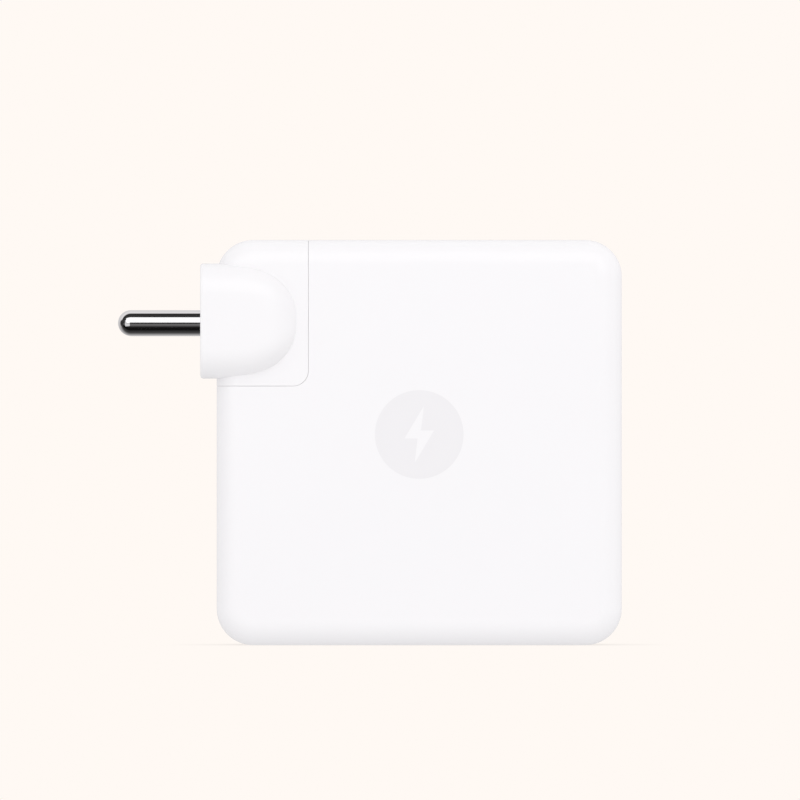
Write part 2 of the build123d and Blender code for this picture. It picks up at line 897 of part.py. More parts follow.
def contact_strip(side):
    """Angle strip from a pin's tail to the top of its contact sleeve."""
    pin_y = side * pin_pitch / 2
    sleeve_y = side * inlet_pitch / 2
    with BuildPart() as strip:
        with BuildSketch(side_plane(strip_x)):
            with Locations((pin_y, pin_z)):
                Circle(tail_radius + 1.5)
            with Locations((sleeve_y, strip_bend_z + strip_thickness / 2)):
                Rectangle(strip_width, strip_thickness)
            make_hull()
            with Locations((pin_y, pin_z)):
                Circle(tail_radius, mode=Mode.SUBTRACT)
        extrude(amount=strip_thickness)
        with BuildSketch(level(strip_bend_z)):
            y_min = sleeve_y - strip_width / 2
            span(strip_x, inlet_x + strip_width / 2, y_min, y_min + strip_width)
        extrude(amount=strip_thickness)
    return strip


def contact_sleeve(side):
    """Split spring sleeve that grips an inlet pin inside the boss."""
    sleeve_z = boss_tip_z + 0.7
    with BuildPart() as sleeve:
        with BuildSketch(level(sleeve_z)):
            with Locations((inlet_x, side * inlet_pitch / 2)):
                Circle(sleeve_outer_radius - 0.02)
                Circle(sleeve_bore_radius, mode=Mode.SUBTRACT)
        extrude(amount=strip_bend_z - sleeve_z)
        with BuildSketch(level(sleeve_z)):
            with Locations((inlet_x, side * inlet_pitch / 2)):
                Rectangle(4 * sleeve_outer_radius, 0.4)
        extrude(amount=9.0, mode=Mode.SUBTRACT)
    return sleeve


for name, side in (("front", -1), ("rear", 1)):
    finish(plug_pin(side), f"plug_pin_{name}")
    finish(contact_strip(side), f"contact_strip_{name}")
    finish(contact_sleeve(side), f"contact_sleeve_{name}")
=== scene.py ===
import bmesh
import bpy
import json
from math import cos, pi, radians, sin, sqrt
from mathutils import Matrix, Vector


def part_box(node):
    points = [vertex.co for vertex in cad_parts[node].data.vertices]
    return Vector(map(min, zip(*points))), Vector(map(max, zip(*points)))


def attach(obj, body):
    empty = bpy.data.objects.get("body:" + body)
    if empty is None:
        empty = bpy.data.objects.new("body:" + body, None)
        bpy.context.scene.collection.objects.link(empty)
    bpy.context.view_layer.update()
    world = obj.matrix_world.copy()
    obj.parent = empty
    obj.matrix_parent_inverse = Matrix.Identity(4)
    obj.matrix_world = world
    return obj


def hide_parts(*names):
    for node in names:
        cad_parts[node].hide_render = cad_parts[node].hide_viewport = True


# A white square laptop power adapter standing upright. Shapes are worked out in millimetres from
# the frame's boxes and a few design sizes, and become metres when a mesh is made.

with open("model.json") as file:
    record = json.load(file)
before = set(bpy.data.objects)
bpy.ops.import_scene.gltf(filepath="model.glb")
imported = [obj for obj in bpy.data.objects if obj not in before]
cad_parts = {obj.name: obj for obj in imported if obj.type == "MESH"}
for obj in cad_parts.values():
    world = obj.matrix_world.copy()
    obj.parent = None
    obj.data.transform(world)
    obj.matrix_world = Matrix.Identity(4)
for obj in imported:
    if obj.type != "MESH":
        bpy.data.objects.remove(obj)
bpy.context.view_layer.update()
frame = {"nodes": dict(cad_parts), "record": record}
scene = bpy.context.scene
MM = 0.001


def box_mm(node):
    """Lowest and highest corner of a CAD node in millimetres."""
    low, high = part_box(node)
    return low / MM, high / MM


# ---------------------------------------------------------------- sizes from the frame

front_low, front_high = box_mm("front_shell")
rear_low, rear_high = box_mm("rear_shell")
head_low, head_high = box_mm("plug_head_shell")
pin_low, pin_high = box_mm("plug_pin_front")
port_low, port_high = box_mm("usb_c_receptacle")
mounts = {mount["name"]: mount for mount in frame["record"]["mounts"]}

left, right = front_low.x, front_high.x
bottom, top = front_low.z, front_high.z
front_y, rear_y = front_low.y, rear_high.y
centre_z = (bottom + top) / 2
half_width = (right - left) / 2
half_depth = (rear_y - front_y) / 2

# Design sizes of the housing, in millimetres
corner_radius = 7.2
edge_radius = 4.5
wall = 2.3
lap_thickness = 1.1
lap_length = 1.5
fit_gap = 0.05
seam_gap = 0.05
seam_groove = 0.2
groove_chamfer = 0.12
port_clearance = 0.3
recess_radius = 3.0
head_wall = 2.0
lip_radius = 0.12
head_growth = 0.02

# Nose of the plug head
nose_wall = 2.2
nose_face_wall = 3.0
nose_corner_radius = 5.8
nose_arc_start = 8.5
nose_depth_arc = 9.6
nose_rise_start = 3.0
nose_rise_arc = 20.0
nose_end = 16.5
nose_edge_radius = 0.5
nose_half_height = 11.35
nose_z = 64.0

head_x = head_high.x
head_z = head_low.z
recess_x = head_x + seam_gap
recess_z = head_z - seam_gap
nose_face_x = head_low.x
nose_half_depth = head_high.y
collar_x = nose_face_x + nose_face_wall

pin_mount = mounts["mains_pin_front"]
pin_radius = pin_mount["dims"]["r_mm"]
pin_y = pin_mount["pos_m"][1] / MM
pin_z = pin_mount["pos_m"][2] / MM
pin_seat_radius = 2.3


# ---------------------------------------------------------------- mesh helpers


def to_object(bm, name):
    """Mesh object from millimetre geometry, smooth shaded with creases kept sharp."""
    bmesh.ops.recalc_face_normals(bm, faces=bm.faces)
    bmesh.ops.scale(bm, vec=(MM, MM, MM), verts=bm.verts)
    mesh = bpy.data.meshes.new(name)
    bm.to_mesh(mesh)
    bm.free()
    obj = bpy.data.objects.new(name, mesh)
    scene.collection.objects.link(obj)
    sharpen(obj)
    return obj


def sharpen(obj, angle=32):
    """Smooth shading, split where two faces meet at more than angle degrees."""
    obj.data.shade_smooth()
    obj.data.set_sharp_from_angle(angle=radians(angle))


def even_shading(obj):
    """Weighted normals, so flat faces stay flat next to their rounded edges."""
    modifier = obj.modifiers.new("even_shading", "WEIGHTED_NORMAL")
    modifier.keep_sharp = True
    modifier.weight = 60


def combine(obj, tool, operation):
    """Exact boolean of two objects, applied; the tool object is used up."""
    modifier = obj.modifiers.new(operation.lower(), "BOOLEAN")
    modifier.operation = operation
    modifier.solver = "EXACT"
    modifier.object = tool
    evaluated = obj.evaluated_get(bpy.context.evaluated_depsgraph_get())
    mesh = bpy.data.meshes.new_from_object(evaluated)
    obj.modifiers.clear()
    old_mesh = obj.data
    obj.data = mesh
    mesh.name = obj.name
    bpy.data.meshes.remove(old_mesh)
    bpy.data.meshes.remove(tool.data)
    sharpen(obj)


def arc_steps(start, end, count):
    """count + 1 angles from start to end in radians."""
    return [start + (end - start) * step / count for step in range(count + 1)]


def straight_path(start, end, normal, step=5.0):
    """Points with an outward normal along a straight run, without its last point."""
    a, b = Vector(start), Vector(end)
    count = max(1, round((b - a).length / step))
    return [(a.lerp(b, index / count), Vector(normal)) for index in range(count)]


def corner_path(centre, start, end, count=16):
    """Points with outward normals round one corner of the housing."""
    points = []
    for angle in arc_steps(radians(start), radians(end), count):
        normal = Vector((cos(angle), sin(angle)))
        points.append((Vector(centre) + normal * corner_radius, normal))
    return points


# A profile is a list of (inset, y, inset direction, y direction): a place on the wall's section and
# the direction in which it sinks where the surface rolls over a lip. Inner places don't sink.


def edge_rounding(radius, inset, side_y, count=12, sinks=True):
    """Profile from the flat face round an edge to the side; side_y is where the side begins."""
    sign = 1 if side_y > 0 else -1
    points = []
    for angle in arc_steps(pi / 2, 0, count):
        place = (inset + radius * (1 - cos(angle)), side_y + sign * radius * sin(angle))
        points.append((*place, cos(angle), -sign * sin(angle)) if sinks else (*place, 0, 0))
    return points


def lip_steps(count=3):
    """(push, sink) from the very end of a rounded lip, which is sunk, to the full surface."""
    return [(lip_radius * (1 - sin(a)), lip_radius * (1 - cos(a))) for a in arc_steps(pi / 2, 0, count)]


def profile_row(bm, base, normal, profile, sink=0.0):
    """Vertices of a profile at one place on the outline."""
    row = []
    for inset, y, inset_sink, y_sink in profile:
        place = base - normal * (inset + inset_sink * sink)
        row.append(bm.verts.new((place.x, y + y_sink * sink, place.y)))
    return row


def bridge(bm, here, there):
    """Quads between two equally long rows of vertices."""
    for k in range(len(here) - 1):
        bm.faces.new((here[k], here[k + 1], there[k + 1], there[k]))


def notched_form(name, path, profile, radius, outward):
    """Closed form swept round an open outline, with the notch that joins its ends and rounded lips.

    The notch has a floor at the outline's end, a wall at its start and a round corner of the given
    radius; outward is 1 where material surrounds the notch and -1 where it fills its corner.
    """
    bm = bmesh.new()
    steps = lip_steps()
    last = len(steps) - 1
    (start, start_normal), (end, end_normal) = path[0], path[-1]
    into_start = (path[1][0] - start).normalized()
    into_end = (path[-2][0] - end).normalized()
    opening = []
    closing = []
    for push, sink in steps:
        opening.append(profile_row(bm, start + into_start * push, start_normal, profile, sink))
        closing.append(profile_row(bm, end + into_end * push, end_normal, profile, sink))
    middle = [profile_row(bm, base, normal, profile) for base, normal in path[1:-1]]
    grid = opening + middle + closing[::-1]
    for here, there in zip(grid, grid[1:]):
        bridge(bm, here, there)
    centre = Vector((start.x - radius, end.y + radius))
    outlines = []
    for side in (0, -1):
        _, y, _, y_sink = profile[side]
        chains = []
        for k, (push, sink) in enumerate(steps):
            reach = radius + outward * push
            arc = [centre + Vector((cos(a), sin(a))) * reach for a in arc_steps(-pi / 2, 0, 12)]
            corner = [bm.verts.new((place.x, y + y_sink * sink, place.y)) for place in arc]
            chains.append([closing[k][side]] + corner + [opening[k][side]])
        for here, there in zip(chains, chains[1:]):
            bridge(bm, here, there)
        bm.faces.new([row[side] for row in grid[last : len(grid) - last]] + chains[last][1:-1])
        outlines.append(chains[0])
    bridge(bm, *outlines)
    bm.faces.new(grid[0])
    bm.faces.new(grid[-1])
    return to_object(bm, name)


# ---------------------------------------------------------------- brick housing

flat_support = 0.5
cap_inset = edge_radius + flat_support
lap_step = wall - lap_thickness
side_start = half_depth - edge_radius


def brick_path():
    """Outline of the brick seen from the front, from the recess's wall round to its floor."""
    inner_x = half_width - corner_radius
    high_z = top - corner_radius
    low_z = bottom + corner_radius
    path = straight_path((recess_x, top), (inner_x, top), (0, 1))
    path += corner_path((inner_x, high_z), 90, 0)
    path += straight_path((right, high_z), (right, low_z), (1, 0))[1:]
    path += corner_path((inner_x, low_z), 0, -90)
    path += straight_path((inner_x, bottom), (-inner_x, bottom), (0, -1))[1:]
    path += corner_path((-inner_x, low_z), -90, -180)
    path += straight_path((left, low_z), (left, recess_z), (-1, 0))[1:]
    path.append((Vector((left, recess_z)), Vector((-1, 0))))
    return path


def half_profile(sign, lap):
    """Wall section of one half: sign is -1 for the front, lap holds its joint from outside to inside."""
    outer = [(cap_inset, sign * half_depth, 0, -sign)]
    outer += edge_rounding(edge_radius, 0, sign * side_start)
    outer += [(0, sign * side_start * share, 1, 0) for share in (0.66, 0.33)]
    groove_edge = seam_groove / 2
    outer += [(0, sign * (groove_edge + groove_chamfer), 1, 0), (groove_chamfer, sign * groove_edge, 0, 0)]
    joint = [(seam_groove, sign * groove_edge, 0, 0)] + [(inset, y, 0, 0) for inset, y in lap]
    inner = [(cap_inset, sign * (half_depth - wall), 0, 0)]
    inner += edge_rounding(edge_radius - wall, wall, sign * side_start, 6, sinks=False)
    return outer + joint + inner[::-1]


def housing_half(name, sign, slack):
    """One half of the brick's housing; slack widens the rear half's side of the lap joint."""
    step = lap_step - slack
    length = lap_length + slack
    lap = [(seam_groove, 0.0), (step, 0.0), (step, length), (wall, length)]
    return notched_form(name, brick_path(), half_profile(sign, lap), recess_radius + seam_gap / 2, 1)


def stadium_prism(name, x_from, x_to, y_size, z_size, y_centre, z_centre):
    """Upright stadium extruded along X, used as a cutter."""
    radius = y_size / 2
    reach = z_size / 2 - radius
    outline = []
    for centre, start in ((reach, 0), (-reach, pi)):
        for angle in arc_steps(start, start + pi, 14):
            outline.append((y_centre + radius * cos(angle), z_centre + centre + radius * sin(angle)))
    bm = bmesh.new()
    near = [bm.verts.new((x_from, y, z)) for y, z in outline]
    far = [bm.verts.new((x_to, y, z)) for y, z in outline]
    bm.faces.new(near)
    bm.faces.new(far)
    for k in range(len(outline)):
        after = (k + 1) % len(outline)
        bm.faces.new((near[k], near[after], far[after], far[k]))
    return to_object(bm, name)


def cut_port(obj):
    """Cut the output socket's hole through a housing half's right side."""
    z_size = port_high.z - port_low.z + port_clearance
    y_size = port_high.y - port_low.y + port_clearance
    port_z = (port_low.z + port_high.z) / 2
    cutter = stadium_prism("port_cutter", right - 6, right + 2, y_size, z_size, 0, port_z)
    combine(obj, cutter, "DIFFERENCE")


front_housing = housing_half("front_housing", -1, 0.0)
rear_housing = housing_half("rear_housing", 1, fit_gap)
cut_port(front_housing)
cut_port(rear_housing)

# ---------------------------------------------------------------- plug head


def head_path(overshoot):
    """Outline of the head's block seen from the front, from its right end round to its foot."""
    inner_x = half_width - corner_radius
    high_z = top - corner_radius
    foot = head_z - overshoot
    path = straight_path((head_x + overshoot, top), (-inner_x, top), (0, 1))
    path += corner_path((-inner_x, high_z), 90, 180)
    path += straight_path((left, high_z), (left, foot), (-1, 0))[1:]
    path.append((Vector((left, foot)), Vector((-1, 0))))
    return path


def head_form(name, inset, overshoot):
    """Solid corner block of the plug head, or the space inside it at a given inset."""
    radius = edge_radius - inset
    sinks = inset == 0
    face_sink = 1 if sinks else 0
    front = [(cap_inset, inset - half_depth, 0, face_sink)]
    front += edge_rounding(radius, inset, -side_start, sinks=sinks)
    rear = [(cap_inset, half_depth - inset, 0, -face_sink)]
    rear += edge_rounding(radius, inset, side_start, sinks=sinks)
    middle = [(inset, side_start * share, face_sink, 0) for share in (-0.6, -0.2, 0.2, 0.6)]
    notch_radius = recess_radius - seam_gap / 2 + overshoot
    return notched_form(name, head_path(overshoot), front + middle + rear[::-1], notch_radius, -1)


def nose_fall(x, start, radius):
    """How far the nose has fallen at x along a circular arc that begins at start."""
    run = max(0.0, x - left - start)
    return radius - sqrt(radius**2 - run**2)


def nose_outline(x, inset):
    """Rounded rectangular section of the nose at x as (y, z) points."""
    half_y = nose_half_depth - inset - nose_fall(x, nose_arc_start, nose_depth_arc)
    half_z = nose_half_height - inset - nose_fall(x, nose_rise_start, nose_rise_arc)
    radius = nose_corner_radius - inset
    corners = [
        (half_y - radius, half_z - radius, 0),
        (radius - half_y, half_z - radius, pi / 2),
        (radius - half_y, radius - half_z, pi),
        (half_y - radius, radius - half_z, 3 * pi / 2),
    ]
    arcs = []
    for y, z, start in corners:
        steps = arc_steps(start, start + pi / 2, 14)
        arcs.append([(y + radius * cos(a), nose_z + z + radius * sin(a)) for a in steps])
    outline = []
    for arc, after in zip(arcs, arcs[1:] + arcs[:1]):
        outline += arc
        runs = 7
        for run in range(1, runs):
            share = run / runs
            y = arc[-1][0] + (after[0][0] - arc[-1][0]) * share
            z = arc[-1][1] + (after[0][1] - arc[-1][1]) * share
            outline.append((y, z))
    return outline


def nose_solid(name, inset, x_start, x_end, rounding):
    """Closed nose form: a rounded edge at its face, a straight length and a falling tip."""
    stations = [(x_start, 0)]
    if rounding:
        turns = arc_steps(0, pi / 2, 5)
        stations = [(x_start + rounding * (1 - cos(a)), rounding * (1 - sin(a))) for a in turns]
    straight_from = stations[-1][0]
    straight_end = left + nose_rise_start
    straight_run = straight_end - straight_from
    stations += [(straight_from + straight_run * share, 0) for share in (0.3, 0.65, 1.0)]
    falls = 18
    fall_step = (x_end - straight_end) / falls
    stations += [(straight_end + fall_step * step, 0) for step in range(1, falls + 1)]
    bm = bmesh.new()
    rings = []
    for x, edge_inset in stations:
        rings.append([bm.verts.new((x, y, z)) for y, z in nose_outline(x, inset + edge_inset)])
    for here, there in zip(rings, rings[1:]):
        for k in range(len(here)):
            after = (k + 1) % len(here)
            bm.faces.new((here[k], here[after], there[after], there[k]))
    bm.faces.new(rings[0])
    bm.faces.new(rings[-1])
    return to_object(bm, name)


def lathe(name, axis_y, axis_z, profile, segments=64):
    """Solid of revolution about a line along X from (x, radius) pairs; radius 0 closes an end."""
    bm = bmesh.new()
    turns = [2 * pi * k / segments for k in range(segments)]
    rings = []
    for x, radius in profile:
        ring = [(x, axis_y, axis_z)]
        if radius:
            ring = [(x, axis_y + radius * cos(t), axis_z + radius * sin(t)) for t in turns]
        rings.append([bm.verts.new(place) for place in ring])
    for here, there in zip(rings, rings[1:]):
        for k in range(segments):
            after = (k + 1) % segments
            corners = [here[k % len(here)], here[after % len(here)]]
            corners += [there[after % len(there)], there[k % len(there)]]
            bm.faces.new(list(dict.fromkeys(corners)))
    return to_object(bm, name)


plug_head_cover = head_form("plug_head_cover", 0, head_growth)
nose_tip_x = left + nose_end
nose_blank = nose_solid("nose_blank", 0, nose_face_x, nose_tip_x, nose_edge_radius)
combine(plug_head_cover, nose_blank, "UNION")
combine(plug_head_cover, head_form("head_space", head_wall, 2), "DIFFERENCE")
nose_hollow = nose_solid("nose_hollow", nose_wall, collar_x, nose_tip_x - nose_wall, 0)
combine(plug_head_cover, nose_hollow, "DIFFERENCE")
hole_radius = pin_seat_radius + 0.03
hole_profile = [
    (nose_face_x - 1, 0),
    (nose_face_x - 1, hole_radius),
    (collar_x + 1, hole_radius),
    (collar_x + 1, 0),
]
for side_y in (pin_y, -pin_y):
    combine(plug_head_cover, lathe("pin_hole", side_y, pin_z, hole_profile), "DIFFERENCE")

# ---------------------------------------------------------------- mains pins

collar_radius = 3.9
collar_length = 1.8
tail_radius = 1.6
tail_chamfer = 0.3


def mains_pin(name, y):
    """Round pin with a domed tip, a seat through the nose's face, a collar and a riveted tail."""
    tip_x, end_x = pin_low.x, pin_high.x
    turns = arc_steps(0, pi / 2, 14)
    profile = [(tip_x + pin_radius * (1 - cos(a)), pin_radius * sin(a)) for a in turns]
    runs = 6
    shaft_start = tip_x + pin_radius
    shaft_run = nose_face_x - shaft_start
    profile += [(shaft_start + shaft_run * step / runs, pin_radius) for step in range(1, runs + 1)]
    tail_x = collar_x + collar_length
    for start, end, radius in (
        (nose_face_x, collar_x, pin_seat_radius),
        (collar_x, tail_x, collar_radius),
        (tail_x, end_x - tail_chamfer, tail_radius),
    ):
        profile += [(start, radius), (end, radius)]
    profile += [(end_x, tail_radius - tail_chamfer), (end_x, 0)]
    return lathe(name, y, pin_z, profile)


mains_pin_front = mains_pin("mains_pin_front", pin_y)
mains_pin_rear = mains_pin("mains_pin_rear", -pin_y)

# ---------------------------------------------------------------- printed sign on the face

sign_radius = 8.75
sign_z = 41.6
bolt_size = 5.6
ink_thickness = 0.03


def bolt_outline(size):
    """Simple lightning flash as (x, z) points about its middle."""
    upper = [(0.16, 1.0), (-0.52, -0.14), (-0.06, -0.14)]
    lower = [(-x, -z) for x, z in upper]
    return [(x * size, z * size) for x, z in upper + lower]


def face_sign():
    """Thin printed disc with a lightning flash left open in it."""
    bm = bmesh.new()
    turns = [2 * pi * k / 120 for k in range(120)]
    loops = [
        [(sign_radius * cos(t), sign_radius * sin(t)) for t in turns],
        bolt_outline(bolt_size),
    ]
    rim = []
    for loop in loops:
        ring = [bm.verts.new((x, front_y, sign_z + z)) for x, z in loop]
        rim += [bm.edges.new((ring[k], ring[(k + 1) % len(ring)])) for k in range(len(ring))]
    bmesh.ops.triangle_fill(bm, use_beauty=True, edges=rim)
    grown = bmesh.ops.extrude_face_region(bm, geom=bm.faces[:])
    moved = [item for item in grown["geom"] if isinstance(item, bmesh.types.BMVert)]
    bmesh.ops.translate(bm, vec=(0, -ink_thickness, 0), verts=moved)
    return to_object(bm, "face_sign")


sign = face_sign()

# ---------------------------------------------------------------- materials


class Look:
    """Small builder for a procedural material on one Principled shader."""

    def __init__(self, name, roughness, metallic=0.0, coat=0.0):
        self.material = bpy.data.materials.new(name)
        self.material.use_nodes = True
        self.tree = self.material.node_tree
        self.shader = self.tree.nodes["Principled BSDF"]
        self.shader.inputs["Roughness"].default_value = roughness
        self.shader.inputs["Metallic"].default_value = metallic
        self.shader.inputs["Coat Weight"].default_value = coat
        self.place = self.node("ShaderNodeTexCoord").outputs["Object"]

    def node(self, kind, **settings):
        made = self.tree.nodes.new(kind)
        for key, value in settings.items():
            setattr(made, key, value)
        return made

    def link(self, source, target):
        self.tree.links.new(source, target)

    def stretched(self, scale):
        """Object coordinates scaled along each axis, for grain with a direction."""
        mapping = self.node("ShaderNodeMapping")
        mapping.inputs["Scale"].default_value = scale
        self.link(self.place, mapping.inputs["Vector"])
        return mapping.outputs["Vector"]

    def noise(self, scale, detail=2.0, place=None):
        """Noise value, scale in features per metre."""
        noise = self.node("ShaderNodeTexNoise")
        noise.inputs["Scale"].default_value = scale
        noise.inputs["Detail"].default_value = detail
        self.link(place or self.place, noise.inputs["Vector"])
        return noise.outputs["Fac"]

    def cells(self, scale, place=None):
        """Distance to the nearest cell point of a Voronoi texture."""
        cells = self.node("ShaderNodeTexVoronoi")
        cells.inputs["Scale"].default_value = scale
        self.link(place or self.place, cells.inputs["Vector"])
        return cells.outputs["Distance"]

    def spread(self, source, low, high, from_low=0.3, from_high=0.7):
        """Map a texture value to a range."""
        remap = self.node("ShaderNodeMapRange")
        remap.inputs["From Min"].default_value = from_low
        remap.inputs["From Max"].default_value = from_high
        remap.inputs["To Min"].default_value = low
        remap.inputs["To Max"].default_value = high
        self.link(source, remap.inputs["Value"])
        return remap.outputs["Result"]

    def colours(self, source, first, second, low=0.35, high=0.65):
        """Blend between two colours over a stretch of a texture value."""
        ramp = self.node("ShaderNodeValToRGB")
        ramp.color_ramp.elements[0].position = low
        ramp.color_ramp.elements[1].position = high
        ramp.color_ramp.elements[0].color = (*first, 1)
        ramp.color_ramp.elements[1].color = (*second, 1)
        self.link(source, ramp.inputs["Fac"])
        self.link(ramp.outputs["Color"], self.shader.inputs["Base Color"])
        return ramp

    def roughness(self, source, low, high):
        self.link(self.spread(source, low, high), self.shader.inputs["Roughness"])

    def bump(self, height, depth_mm, strength=1.0):
        """Surface relief, depth in millimetres."""
        bump = self.node("ShaderNodeBump")
        bump.inputs["Strength"].default_value = strength
        bump.inputs["Distance"].default_value = depth_mm * MM
        self.link(height, bump.inputs["Height"])
        self.link(bump.outputs["Normal"], self.shader.inputs["Normal"])


def moulded_plastic(name, first, second, low_rough, high_rough, relief=0.003, shine=0.5):
    """Injection moulded plastic: faint colour drift, uneven gloss and a very fine skin texture."""
    look = Look(name, low_rough)
    look.shader.inputs["Specular IOR Level"].default_value = shine
    look.colours(look.noise(28, 3), first, second)
    look.roughness(look.noise(160, 4), low_rough, high_rough)
    look.bump(look.noise(2600, 2), relief, 0.35)
    return look.material


def turned_metal(name, first, second, low_rough, high_rough, stretch, relief=0.002):
    """Plated or drawn metal with fine marks drawn out along one direction."""
    look = Look(name, low_rough, metallic=1.0)
    grain = look.noise(900, 3, look.stretched(stretch))
    look.colours(grain, first, second)
    look.roughness(look.noise(500, 2), low_rough, high_rough)
    look.bump(grain, relief, 0.25)
    return look.material


def rough_solid(name, first, second, low_rough, high_rough, grain, relief):
    """Matt body such as ferrite, ceramic, silicone or paper film, with a grain of its own."""
    look = Look(name, high_rough)
    texture = look.noise(grain, 4)
    look.colours(texture, first, second)
    look.roughness(texture, low_rough, high_rough)
    look.bump(texture, relief, 0.5)
    return look.material


def wound_wire(name, first, second, along, metallic=0.0):
    """Layers of enamelled or covered wire: fine even bands along one direction."""
    look = Look(name, 0.32, metallic=metallic, coat=0.25)
    bands = look.node("ShaderNodeTexWave", bands_direction=along, wave_profile="SIN")
    bands.inputs["Scale"].default_value = 420
    bands.inputs["Distortion"].default_value = 0.6
    look.link(look.place, bands.inputs["Vector"])
    look.colours(bands.outputs["Fac"], first, second, 0.1, 0.9)
    look.roughness(look.noise(300), 0.28, 0.42)
    look.bump(bands.outputs["Fac"], 0.12, 0.7)
    return look.material


def circuit_board(name):
    """Green solder mask over copper tracks, which show as paler cells."""
    look = Look(name, 0.35, coat=0.2)
    tracks = look.cells(190, look.stretched((1, 1, 0.6)))
    look.colours(tracks, (0.012, 0.10, 0.045), (0.02, 0.17, 0.075), 0.3, 0.42)
    look.roughness(look.noise(700), 0.3, 0.42)
    look.bump(tracks, 0.03, 0.3)
    return look.material


def brushed_sheet(name, first, second, stretch):
    """Rolled or brushed sheet metal with scratches along one direction."""
    look = Look(name, 0.35, metallic=1.0)
    scratches = look.noise(420, 5, look.stretched(stretch))
    look.colours(scratches, first, second, 0.25, 0.75)
    look.roughness(scratches, 0.26, 0.44)
    look.bump(scratches, 0.01, 0.5)
    return look.material


def sleeved_can(name, first, second):
    """Shrunk sleeve of a capacitor, slightly uneven and glossy."""
    look = Look(name, 0.28, coat=0.3)
    look.colours(look.noise(90, 3), first, second)
    look.roughness(look.noise(240, 3), 0.2, 0.36)
    look.bump(look.noise(130, 2), 0.05, 0.35)
    return look.material


